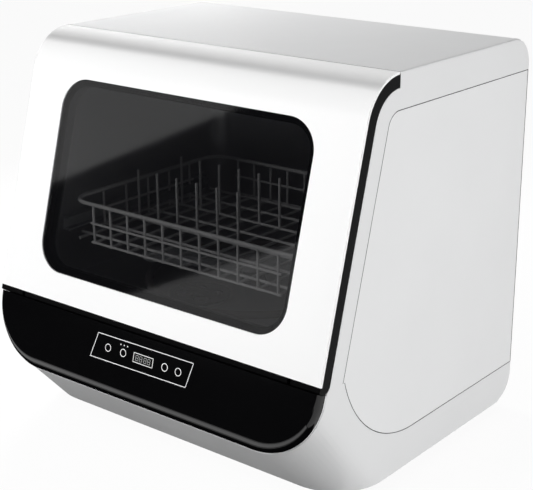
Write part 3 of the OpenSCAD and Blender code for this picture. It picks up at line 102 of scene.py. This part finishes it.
class Finish:
    """A material and the nodes that give it its detail."""

    def __init__(self, name):
        self.material = bpy.data.materials.new(name)
        self.material.use_nodes = True
        self.tree = self.material.node_tree
        self.tree.nodes.clear()

    @classmethod
    def of_tree(cls, tree):
        """The same for a node tree that belongs to no material, such as the world's."""
        made = cls.__new__(cls)
        made.tree = tree
        tree.nodes.clear()
        return made

    def node(self, kind, settings=None, values=None, out=0):
        """Adds a node, sets it, links or fills its inputs, and gives one of its outputs."""
        made = self.tree.nodes.new(kind)
        for key, value in (settings or {}).items():
            setattr(made, key, value)
        for key, value in (values or {}).items():
            if isinstance(value, Link):
                self.tree.links.new(value.socket, made.inputs[key])
            else:
                made.inputs[key].default_value = value
        return Link(self, made.outputs[out]) if len(made.outputs) else made

    def place(self):
        return self.node("ShaderNodeTexCoord", out="Object")

    def stretched(self, scale):
        return self.node("ShaderNodeMapping", {"vector_type": "POINT"},
                         {"Vector": self.place(), "Scale": scale})

    def noise(self, scale, detail=2.0, vector=None):
        return self.node("ShaderNodeTexNoise", {},
                         {"Vector": vector or self.place(), "Scale": scale, "Detail": detail})

    def between(self, mask, first, second):
        """A colour that goes from first to second as mask goes from 0 to 1."""
        return self.node("ShaderNodeMix", {"data_type": "RGBA"},
                         {0: mask, 6: first, 7: second}, out=2)

    def bump(self, height, depth):
        return self.node("ShaderNodeBump", {},
                         {"Height": height, "Distance": depth, "Strength": 1.0})

    def ray(self, *kinds):
        """1 on rays of any of these kinds, and 0 on the others."""
        masks = [self.node("ShaderNodeLightPath", out="Is %s Ray" % kind) for kind in kinds]
        total = masks[0]
        for mask in masks[1:]:
            total = total + mask
        return total

    def coat(self, **values):
        names = {key.replace("_", " "): value for key, value in values.items()}
        self.finished(self.node("ShaderNodeBsdfPrincipled", {}, names))
        return self

    def finished(self, shader):
        self.node("ShaderNodeOutputMaterial", {}, {"Surface": shader})


def rgba(colour, factor=1.0):
    return (*[min(1.0, c * factor) for c in colour], 1.0)


def grey(level):
    return rgba((level, level, level))


# ---- finishes ----


def moulded(name, colour, rough, grain=900.0, depth=0.00004, tone=0.03, spec=0.5):
    """Moulded plastic: a fine sparked grain, slow changes of tone and of gloss."""
    f = Finish(name)
    cloud = f.noise(9.0, 3.0)
    dust = f.noise(70.0, 4.0)
    skin = f.noise(grain, 2.0)
    colour_node = f.between(cloud, rgba(colour, 1.0 - tone), rgba(colour, 1.0 + tone))
    gloss = rough + (dust - 0.5) * (rough * 0.25) + (cloud - 0.5) * (rough * 0.15)
    return f.coat(Base_Color=colour_node, Roughness=gloss, Specular_IOR_Level=spec,
                  Normal=f.bump(skin, depth))


def polished(name, colour, rough, spec=0.5, waviness=0.00002, tone=0.06, lacquer=0.0):
    """Polished plastic: almost smooth, with a slow waviness and faint wipe marks."""
    f = Finish(name)
    wave = f.noise(38.0, 1.0)
    wipes = f.noise(26.0, 5.0, f.stretched((1.0, 5.0, 1.6)))
    colour_node = f.between(wipes, rgba(colour, 1.0 - tone), rgba(colour, 1.0 + tone))
    gloss = rough + wipes * (rough * 0.5)
    return f.coat(Base_Color=colour_node, Roughness=gloss, Specular_IOR_Level=spec,
                  Coat_Weight=lacquer, Coat_Roughness=0.12, Normal=f.bump(wave, waviness))


def brushed(name, colour, rough, along=(1.0, 26.0, 26.0)):
    """Brushed steel: fine parallel lines, which run where the scale in along is small."""
    f = Finish(name)
    lines = f.noise(90.0, 6.0, f.stretched(along))
    cloud = f.noise(12.0, 3.0)
    colour_node = f.between(lines, rgba(colour, 0.86), rgba(colour, 1.1))
    gloss = rough + (lines - 0.5) * 0.16 + (cloud - 0.5) * 0.08
    return f.coat(Base_Color=colour_node, Metallic=1.0, Roughness=gloss,
                  Normal=f.bump(lines, 0.000012))


def plated(name, colour, rough):
    """Zinc plate: small pale flakes over a darker ground."""
    f = Finish(name)
    flakes = f.node("ShaderNodeTexVoronoi", {}, {"Vector": f.place(), "Scale": 160.0})
    cloud = f.noise(30.0, 3.0)
    colour_node = f.between(flakes, rgba(colour, 0.9), rgba(colour, 1.12))
    return f.coat(Base_Color=colour_node, Metallic=0.85, Roughness=rough + cloud * 0.12,
                  Normal=f.bump(flakes, 0.00001))


def tinted_steel(name):
    """Heater tube: steel with straw and blue heat tints along it."""
    f = Finish(name)
    heat = f.noise(16.0, 2.0)
    scale = f.noise(400.0, 3.0)
    straw, blue = rgba((0.36, 0.25, 0.15)), rgba((0.24, 0.26, 0.33))
    return f.coat(Base_Color=f.between(heat, straw, blue), Metallic=0.9,
                  Roughness=0.32 + scale * 0.18, Normal=f.bump(scale, 0.00002))


def rubber(name, colour):
    """Rubber: matt, with a fine pitted skin."""
    f = Finish(name)
    pits = f.noise(1400.0, 2.0)
    bloom = f.noise(22.0, 4.0)
    colour_node = f.between(bloom, rgba(colour, 0.85), rgba(colour, 1.5))
    return f.coat(Base_Color=colour_node, Roughness=0.62 + bloom * 0.2, Specular_IOR_Level=0.35,
                  Normal=f.bump(pits, 0.00005))


def board(name):
    """Circuit board: green lacquer with a grid of pale pads."""
    f = Finish(name)
    cells = f.node("ShaderNodeTexVoronoi", {"distance": "CHEBYCHEV"},
                   {"Vector": f.place(), "Scale": 260.0, "Randomness": 0.35})
    pads = cells < 0.22
    dark_green, light_green = rgba((0.010, 0.075, 0.035)), rgba((0.020, 0.130, 0.060))
    green = f.between(f.noise(60.0, 2.0), dark_green, light_green)
    return f.coat(Base_Color=f.between(pads, green, rgba((0.55, 0.53, 0.42))),
                  Roughness=0.42 - pads * 0.15, Normal=f.bump(pads, 0.00003))


def smoked_glass(name):
    """The door's smoked glass: clear enough to see the rack dimly, with faint wipe marks."""
    f = Finish(name)
    wipes = f.noise(14.0, 5.0, f.stretched((1.0, 3.0, 1.0)))
    return f.coat(Base_Color=rgba((0.006, 0.006, 0.007)), Roughness=0.03 + wipes * 0.03,
                  Alpha=0.48 - wipes * 0.04, Specular_IOR_Level=0.65)


def print_ink(name, colour):
    """Printed marks on the panel: a thin ink with a slightly broken surface."""
    f = Finish(name)
    specks = f.noise(2600.0, 2.0)
    ink = f.between(specks, rgba(colour, 0.88), rgba(colour, 1.05))
    return f.coat(Base_Color=ink, Roughness=0.45 + specks * 0.1)


FINISHES = {
    "case_plastic": moulded("case_plastic", (0.735, 0.738, 0.742), 0.40, 700.0, 0.00003),
    "panel_white": moulded("panel_white", (0.765, 0.768, 0.772), 0.38, 700.0, 0.00003),
    "door_white": polished("door_white", (0.92, 0.92, 0.92), 0.20, waviness=0.000004, tone=0.004,
                           lacquer=0.5),
    "gloss_black": polished("gloss_black", (0.0025, 0.0025, 0.0028), 0.07, 0.4),
    "frame_plastic": moulded("frame_plastic", (0.0018, 0.0018, 0.002), 0.42, 1100.0, spec=0.05),
    "liner_plastic": moulded("liner_plastic", (0.075, 0.077, 0.08), 0.42, 800.0),
    "rail_plastic": moulded("rail_plastic", (0.36, 0.37, 0.385), 0.40),
    "tube_grey": moulded("tube_grey", (0.17, 0.175, 0.185), 0.45),
    "valve_white": moulded("valve_white", (0.72, 0.72, 0.69), 0.42),
    "smoked_glass": smoked_glass("smoked_glass"),
    "display_glass": polished("display_glass", (0.012, 0.013, 0.012), 0.10),
    "tub_steel": brushed("tub_steel", (0.56, 0.565, 0.575), 0.34),
    "filter_steel": brushed("filter_steel", (0.56, 0.565, 0.57), 0.30, (26.0, 26.0, 1.0)),
    "heater_steel": tinted_steel("heater_steel"),
    # The trim is silver; its pale, matt, non-metal colour also paints in the bright line of its
    # highlight
    "trim_silver": polished("trim_silver", (0.86, 0.86, 0.87), 0.36),
    "zinc_sheet": plated("zinc_sheet", (0.50, 0.51, 0.52), 0.34),
    "screw_steel": brushed("screw_steel", (0.58, 0.58, 0.59), 0.28, (20.0, 20.0, 20.0)),
    "motor_metal": plated("motor_metal", (0.42, 0.43, 0.45), 0.38),
    "foot_rubber": rubber("foot_rubber", (0.020, 0.020, 0.021)),
    "gasket_rubber": rubber("gasket_rubber", (0.030, 0.030, 0.032)),
    "circuit_board": board("circuit_board"),
    "coated_wire": polished("coated_wire", (0.84, 0.84, 0.85), 0.26, waviness=0.00003),
    "print_white": print_ink("print_white", (0.86, 0.86, 0.87)),
    "digit_lit": print_ink("digit_lit", (0.42, 0.43, 0.43)),
}

# ---- pieces ----

record = frame["record"]
BODY_OF = {node: body for body, held in record["behaviour"]["bodies"].items() for node in held}
SLOT_OF = {part["node"]: part["material_slot"] for part in record["subparts"]}


def front(x, up_slope, into=0.0):
    """A point on the leaning front: across, up its slope from the door's foot, and inwards."""
    return Vector((
        x,
        DOOR_FOOT[0] + up_slope * math.sin(LEAN) + into * math.cos(LEAN),
        DOOR_FOOT[1] + up_slope * math.cos(LEAN) - into * math.sin(LEAN),
    )) * MM


def in_scene(name, held):
    """An object around a mesh, a lamp or a camera, in the scene."""
    made = bpy.data.objects.new(name, held)
    bpy.context.scene.collection.objects.link(made)
    return made


def mesh_of(name, shape):
    mesh = bpy.data.meshes.new(name)
    shape.to_mesh(mesh)
    shape.free()
    return mesh


def piece(name, mesh, finish, body, replaced=()):
    """Adds a mesh to the scene as a piece that rides on a body."""
    made = in_scene(name, mesh)
    mesh.materials.clear()
    mesh.materials.append(FINISHES[finish].material)
    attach(made, body)
    if replaced:
        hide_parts(*replaced)
    return made


def solid_piece(name, shape, finish, body):
    """Adds a shape, with its faces turned outwards, as a piece."""
    bmesh.ops.recalc_face_normals(shape, faces=shape.faces)
    piece(name, mesh_of(name, shape), finish, body)


def finished_node(node):
    """Gives a CAD node, whose shape stays, its finish."""
    kept = frame["nodes"][node]
    finish = FINISHES[SLOT_OF[node]].material
    if not kept.material_slots:
        kept.data.materials.append(finish)
    for held in kept.material_slots:
        held.link = "OBJECT"
        held.material = finish


# ---- the pieces that show most, with rounded edges ----

# Points nearer to each other than this are one point
SAME_POINT = 0.003
# Faces that turn by less than this are one face
SAME_FACE = math.radians(0.4)
# Edges that turn by more than this stay sharp in the shading
SHARP = math.radians(50.0)
# Edges that turn by more than this are rounded
ROUNDED = math.radians(30.0)
# Width of each node's rounded edges
SOFT = {
    "main_housing": 0.3, "side_panel_left": 0.25, "side_panel_right": 0.25, "rear_cover": 0.3,
    "door_skin": 0.5, "control_panel": 0.5, "door_glass": 0.5,
}


def round_edges(made, width):
    bevel = made.modifiers.new("round_edges", "BEVEL")
    bevel.width = width * MM
    bevel.segments = 2
    bevel.limit_method = "ANGLE"
    bevel.angle_limit = ROUNDED
    bevel.use_clamp_overlap = True
    bevel.miter_outer = "MITER_ARC"
    even = made.modifiers.new("even_shading", "WEIGHTED_NORMAL")
    even.weight = 60
    even.keep_sharp = True


def softened(node, width):
    """A finer copy of a CAD node, with rounded edges and smooth curved faces."""
    mesh = frame["nodes"][node].data.copy()
    shape = bmesh.new()
    shape.from_mesh(mesh)
    bmesh.ops.remove_doubles(shape, verts=shape.verts, dist=SAME_POINT * MM)
    bmesh.ops.dissolve_limit(shape, angle_limit=SAME_FACE, verts=shape.verts,
                             edges=shape.edges, delimit={"NORMAL"})
    shape.to_mesh(mesh)
    shape.free()
    if "custom_normal" in mesh.attributes:
        mesh.attributes.remove(mesh.attributes["custom_normal"])
    for face in mesh.polygons:
        face.use_smooth = True
    mesh.set_sharp_from_angle(angle=SHARP)
    made = piece("soft_" + node, mesh, SLOT_OF[node], BODY_OF[node], (node,))
    round_edges(made, width)
    return made


for node in frame["nodes"]:
    if node not in SOFT:
        finished_node(node)
soft = {node: softened(node, width) for node, width in SOFT.items()}

# ---- painted shade: dark strips in the gaps of the seams ----

# The side panel's outline: distance in from the case's own outline, height of its lower edge,
# centre (y, z) and radius of its lower front corner, and where that corner meets the slope
PANEL_IN = 36.3
PANEL_LOW = 52.0
PANEL_ARC = (-16.335, 180.0)
PANEL_ARC_R = 128.0
PANEL_KINK = 145.0
# Section of the dark strip of painted shade in the groove round the side panel: gap to the panel,
# and depth under the case's side
SEAM_SHADE_SECTION = ((-0.1, 0.03), (0.9, 0.03), (0.6, 1.45), (0.1, 1.45))


def bar_along(shape, loops, closed=False):
    """A solid bar whose section goes through matching points of several outlines."""
    rows = [[shape.verts.new(point) for point in loop] for loop in loops]
    count = len(rows[0])
    for k in range(count if closed else count - 1):
        n = (k + 1) % count
        for row, other in zip(rows, rows[1:] + rows[:1]):
            shape.faces.new([row[k], row[n], other[n], other[k]])
    if not closed:
        for k in (0, -1):
            shape.faces.new([row[k] for row in rows])


def arc_points(centre, radius, start, end, steps):
    turns = [math.radians(start + (end - start) * k / steps) for k in range(steps + 1)]
    return [(centre[0] + radius * math.cos(t), centre[1] + radius * math.sin(t)) for t in turns]


def panel_outline(gap):
    """The side panel's outline as (y, z), drawn in by a gap."""
    inset = PANEL_IN + gap
    arc_r = PANEL_ARC_R - gap
    kink_turn = math.degrees(math.asin((PANEL_ARC[1] - PANEL_KINK) / arc_r))
    slope_y = (DOOR_FOOT[0] + (PANEL_KINK - DOOR_FOOT[1]) * math.tan(LEAN)
               + inset / math.cos(LEAN))
    back_y = REAR_Y - WALL - gap
    low = PANEL_LOW + gap
    top = CREST[1] + CREST_R - inset
    return (
        [(slope_y, PANEL_KINK)]
        + arc_points(CREST, CREST_R - inset, 180 - math.degrees(LEAN), 90, 14)
        + [(back_y, top), (back_y, low)]
        + arc_points(PANEL_ARC, arc_r, 270, 180 + kink_turn, 30)
    )


# Painted shade: a dark strip, in the gasket_rubber finish, lies in each side panel's groove and
# stands in for the groove's shade
for side, side_name in ((-1, "left"), (1, "right")):
    shade_bar = bmesh.new()
    bar_along(shade_bar, [[Vector((side * (HALF_W - depth_in), y, z)) * MM
                      for y, z in panel_outline(gap)]
                     for gap, depth_in in SEAM_SHADE_SECTION], closed=True)
    solid_piece("panel_seam_shade_" + side_name, shade_bar, "gasket_rubber", "case")

# The door skin's rear edge on the top moves forward by this, so that the dark strip of painted
# shade under the seam shows
SEAM_OPEN_W = 1.0
SEAM_Y = CREST[0]
NEAR_SEAM = 0.05
for point in soft["door_skin"].data.vertices:
    if point.co.y > (SEAM_Y - NEAR_SEAM) * MM and point.co.z > CREST[1] * MM:
        point.co.y -= SEAM_OPEN_W * MM

# The dark strips under the seam, which paint the shade in its gap: how far each starts and ends
# behind it
SEAM_SHADE_STRIPS = (("door_seam_shade", "door", -SEAM_OPEN_W + 0.02, -0.02), ("case_seam_shade", "case", 0.05, 0.62))
STRIP_TOP = 0.08
STRIP_FOOT = 2.4
STRIP_END = 0.8

# Painted shade: black strips under the seam stand in for the shade in the gap between the door
# and the top
for strip_name, body, fore, aft in SEAM_SHADE_STRIPS:
    strip = bmesh.new()
    bar_along(strip, [
        [Vector((x, SEAM_Y + along, CREST[1] + CREST_R - down)) * MM
         for x in (STRIP_END - HALF_W, HALF_W - STRIP_END)]
        for along, down in ((fore, STRIP_TOP), (aft, STRIP_TOP), (aft, STRIP_FOOT),
                            (fore, STRIP_FOOT))
    ])
    solid_piece(strip_name, strip, "frame_plastic", body)

# ---- printed marks on the control panel ----

# Places on the panel are (x, up its slope). The ink lies this far off its surface.
INK = 0.05
FRAME = [(-65.4, -17.8), (70.0, -16.6), (64.3, -43.0), (-72.2, -44.8)]
FRAME_LINE = 0.8
KEYS_X = (-48.4, -26.1, 33.2, 51.8)
KEYS_UP = -30.3
KEY_RING = (3.5, 4.3)
DOTS_X = (-31.0, -26.1, -21.2)
DOTS_UP = -22.3
DOT_RING = (0.0001, 0.8)
DISPLAY_X = (-10.9, 16.5)
DISPLAY_UP = (-25.8, -35.5)
DISPLAY_LINE = 0.7
DIGITS_X = (-7.6, -2.2, 3.9, 9.3)
DIGIT_W = 3.4
DIGIT_LINE = 0.45
DIGIT_BARS_UP = (-27.9, -30.7, -33.4)
DIGIT_POSTS_UP = ((-28.3, -30.3), (-31.1, -33.0))


def stroke(shape, start, end, width):
    """A printed line on the panel between two points."""
    along = Vector((end[0] - start[0], end[1] - start[1])).normalized() * (width / 2)
    across = Vector((-along.y, along.x))
    a, b = Vector(start) - along, Vector(end) + along
    corners = (a - across, b - across, b + across, a + across)
    shape.faces.new([shape.verts.new(front(x, up_slope, -INK)) for x, up_slope in corners])


def ring(shape, middle, radii, steps):
    """A printed ring on the panel between two radii."""
    turns = [2 * math.pi * k / steps for k in range(steps)]
    inner, outer = [
        [
            shape.verts.new(front(middle[0] + r * math.cos(t), middle[1] + r * math.sin(t), -INK))
            for t in turns
        ]
        for r in radii
    ]
    for k in range(steps):
        n = (k + 1) % steps
        shape.faces.new([inner[k], outer[k], outer[n], inner[n]])


marks = bmesh.new()
for key_x in KEYS_X:
    ring(marks, (key_x, KEYS_UP), KEY_RING, 40)
for corner, following in zip(FRAME, FRAME[1:] + FRAME[:1]):
    stroke(marks, corner, following, FRAME_LINE)
for dot_x in DOTS_X:
    ring(marks, (dot_x, DOTS_UP), DOT_RING, 16)
for level in DISPLAY_UP:
    stroke(marks, (DISPLAY_X[0], level), (DISPLAY_X[1], level), DISPLAY_LINE)
for side_x in DISPLAY_X:
    stroke(marks, (side_x, DISPLAY_UP[1]), (side_x, DISPLAY_UP[0]), DISPLAY_LINE)
solid_piece("panel_marks", marks, "print_white", "case")

digits = bmesh.new()
for left_x in DIGITS_X:
    for level in DIGIT_BARS_UP:
        stroke(digits, (left_x + 0.5, level), (left_x + DIGIT_W - 0.5, level), DIGIT_LINE)
    for side_x in (left_x, left_x + DIGIT_W):
        for upper, lower in DIGIT_POSTS_UP:
            stroke(digits, (side_x, upper), (side_x, lower), DIGIT_LINE)
solid_piece("display_digits", digits, "digit_lit", "case")

# ---- camera ----

AZIMUTH = math.radians(39.01)
ELEVATION = math.radians(18.77)
ROLL = math.radians(-0.22)
CAMERA_PLACE = (0.8765, -1.0608, 0.6669)
back = Vector((math.sin(AZIMUTH) * math.cos(ELEVATION), -math.cos(AZIMUTH) * math.cos(ELEVATION),
               math.sin(ELEVATION)))
right = Vector((0, 0, 1)).cross(back).normalized()
up = back.cross(right)
right, up = (right * math.cos(ROLL) + up * math.sin(ROLL),
             up * math.cos(ROLL) - right * math.sin(ROLL))
camera_data = bpy.data.cameras.new("camera")
camera_data.sensor_width = 36.0
camera_data.lens = 87.52
camera_data.clip_start = 0.05
camera = in_scene("camera", camera_data)
camera.matrix_world = Matrix.Translation(CAMERA_PLACE) @ Matrix(
    (right, up, back)).transposed().to_4x4()
bpy.context.scene.camera = camera

# ---- lamps, and cards for the gloss ----

KEY_PLACE = (-1.25, -2.35, 1.15)
# The flag stands this far off the bend, which it shades at this turn from upright
FLAG_W = 8.0
FLAG_OFF = 30.0
FLAG_TURN = math.radians(29)
FLAG_ENDS = (-244, 226)
# The floor's cards: their ends across, and their height, in metres
FLOOR_CARD_X = (-2.2, 0.3)
FLOOR_CARD_LIFT = 0.002
# The floor's cards: start and end in metres from the panel's foremost line, and strength
FLOOR_CARDS = (
    (-0.08, 0.05, 0.0), (0.05, 0.08, 0.6), (0.08, 0.22, 1.9), (0.22, 0.34, 0.8), (0.34, 2.6, 0.0),
)
# The front's mirror plane lies this far in from the door's surface
MIRROR_IN = 0.5


def soft_light(name, place, aim, size, power, mirrored=True):
    lamp = bpy.data.lights.new(name, "AREA")
    lamp.shape = "RECTANGLE"
    lamp.size, lamp.size_y = size
    lamp.energy = power
    held = in_scene(name, lamp)
    held.location = place
    held.rotation_euler = (Vector(aim) - Vector(place)).to_track_quat("-Z", "Y").to_euler()
    held.visible_glossy = mirrored


def card(name, corners, strength):
    """A card, glowing or black, that only the glossy faces mirror."""
    shape = bmesh.new()
    shape.faces.new([shape.verts.new(corner) for corner in corners])
    mesh = mesh_of(name, shape)
    made = in_scene(name, mesh)
    glow = Finish(name)
    glow.finished(glow.node("ShaderNodeEmission", {},
                            {"Color": grey(1.0), "Strength": strength}))
    mesh.materials.append(glow.material)
    made.visible_camera = False
    made.visible_diffuse = False
    made.visible_shadow = False
    made.visible_transmission = False
    return made


def crest_flag():
    """A narrow flag before the main lamp, whose soft shadow lies along the door's bend."""
    bend = Vector((0, CREST[0] - CREST_R * math.sin(FLAG_TURN),
                   CREST[1] + CREST_R * math.cos(FLAG_TURN))) * MM
    toward_lamp = Vector((0, *(Vector(KEY_PLACE) - bend).yz)).normalized()
    across_light = Vector((1, 0, 0)).cross(toward_lamp) * (FLAG_W / 2 * MM)
    middle = bend + toward_lamp * FLAG_OFF * MM
    left, right_end = [middle + Vector((x * MM, 0, 0)) for x in FLAG_ENDS]
    flag = card("crest_flag", [left - across_light, right_end - across_light,
                               right_end + across_light, left + across_light], 0.0)
    flag.visible_glossy = False
    flag.visible_shadow = True


def card_in_glass(name, outline, distance, strength):
    """A card that stands where the front's glass and gloss panel mirror this outline of it."""
    on_glass = front(0, 0, MIRROR_IN)
    facing = Vector((0, -math.cos(LEAN), math.sin(LEAN)))
    eye = camera.matrix_world.translation
    mirrored_eye = eye - facing * (2 * (eye - on_glass).dot(facing))
    corners = []
    for x, up_slope in outline:
        along = front(x, up_slope, MIRROR_IN) - mirrored_eye
        corners.append(mirrored_eye + along * (1 + distance / along.length))
    card(name, corners, strength)


def card_on_floor(name, near, beyond, strength):
    """A card on the floor in front of the machine."""
    left, right_end = FLOOR_CARD_X
    card(name, [Vector((x, cad_box[0][1] - y, FLOOR_CARD_LIFT))
                for x, y in ((left, near), (right_end, near), (right_end, beyond),
                             (left, beyond))], strength)


soft_light("key_left", KEY_PLACE, (0, -0.1, 0.25), (1.5, 1.1), 66, mirrored=False)
soft_light("side_fill", (2.25, -0.3, 0.5), (0.2, 0, 0.22), (1.2, 1.0), 32)
soft_light("top_left", (-0.75, 0.6, 0.72), (-0.1, 0.05, 0.43), (0.4, 0.4), 10, mirrored=False)
crest_flag()
card_in_glass("card_left", [(-230, 96), (115, 263), (-230, 263)], 2.0, 1.2)
card_in_glass("card_right", [(-60, 17), (215, 148), (215, 17)], 2.0, 1.0)
card_in_glass("card_black", [(-500, -130), (450, -130), (450, 480), (-500, 480)], 2.3, 0.0)
for band, (near, beyond, strength) in enumerate(FLOOR_CARDS):
    card_on_floor("floor_card_%d" % band, near, beyond, strength)

# ---- the pale room and its floor ----

# How bright the room is to diffuse rays, and behind the machine and before it to mirrored rays
ROOM_LIGHT = 0.32
ROOM_MIRRORED = (0.07, 1.0)
# How far the floor's own colour gives way to an even white where it is seen
FLOOR_EVEN = 0.93
# Half of the floor's width in metres
FLOOR_HALF = 6.0

room = bpy.data.worlds.new("room")
room.use_nodes = True
bpy.context.scene.world = room
sky = Finish.of_tree(room.node_tree)


def along_axis(axis, low, high, first, second):
    """A value that goes from first to second as a ray's direction turns along an axis."""
    toward = sky.node("ShaderNodeTexCoord", out="Generated")
    share = sky.node("ShaderNodeSeparateXYZ", {}, {"Vector": toward}, out=axis)
    return sky.node("ShaderNodeMapRange", {"interpolation_type": "SMOOTHSTEP"},
                    {"Value": share, "From Min": low, "From Max": high, "To Min": first,
                     "To Max": second})


def glow_of(strength):
    return sky.node("ShaderNodeBackground", {}, {"Color": grey(1.0), "Strength": strength})


def mixed(finish, mask, first, second):
    return finish.node("ShaderNodeMixShader", {}, {0: mask, 1: first, 2: second})


behind = along_axis("Y", -0.1, 0.5, 0.0, 1.0)
left_side = along_axis("X", -0.75, -0.25, 1.0, 0.35)
mirrored_room = mixed(sky, behind * left_side, *[glow_of(level) for level in ROOM_MIRRORED])
lit_room = mixed(sky, sky.ray("Camera", "Transmission"), glow_of(ROOM_LIGHT), glow_of(1.0))
sky.node("ShaderNodeOutputWorld", {},
         {"Surface": mixed(sky, sky.ray("Glossy"), lit_room, mirrored_room)})

floor_shape = bmesh.new()
bmesh.ops.create_grid(floor_shape, x_segments=8, y_segments=8, size=FLOOR_HALF)
floor = in_scene("floor", mesh_of("floor", floor_shape))
paper = Finish("floor_paper")
seen = paper.ray("Camera", "Transmission", "Glossy")
fibre = paper.between(paper.noise(40.0, 3.0), grey(0.93), grey(0.96))
matt = paper.node("ShaderNodeBsdfPrincipled", {}, {
    "Base Color": paper.between(seen, grey(0.22), fibre),
    "Roughness": 0.85, "Specular IOR Level": 0.1})
lifted = paper.node("ShaderNodeEmission", {}, {"Color": grey(1.0), "Strength": 1.0})
paper.finished(mixed(paper, seen * FLOOR_EVEN, matt, lifted))
floor.data.materials.append(paper.material)

bpy.context.scene.view_settings.view_transform = "Standard"
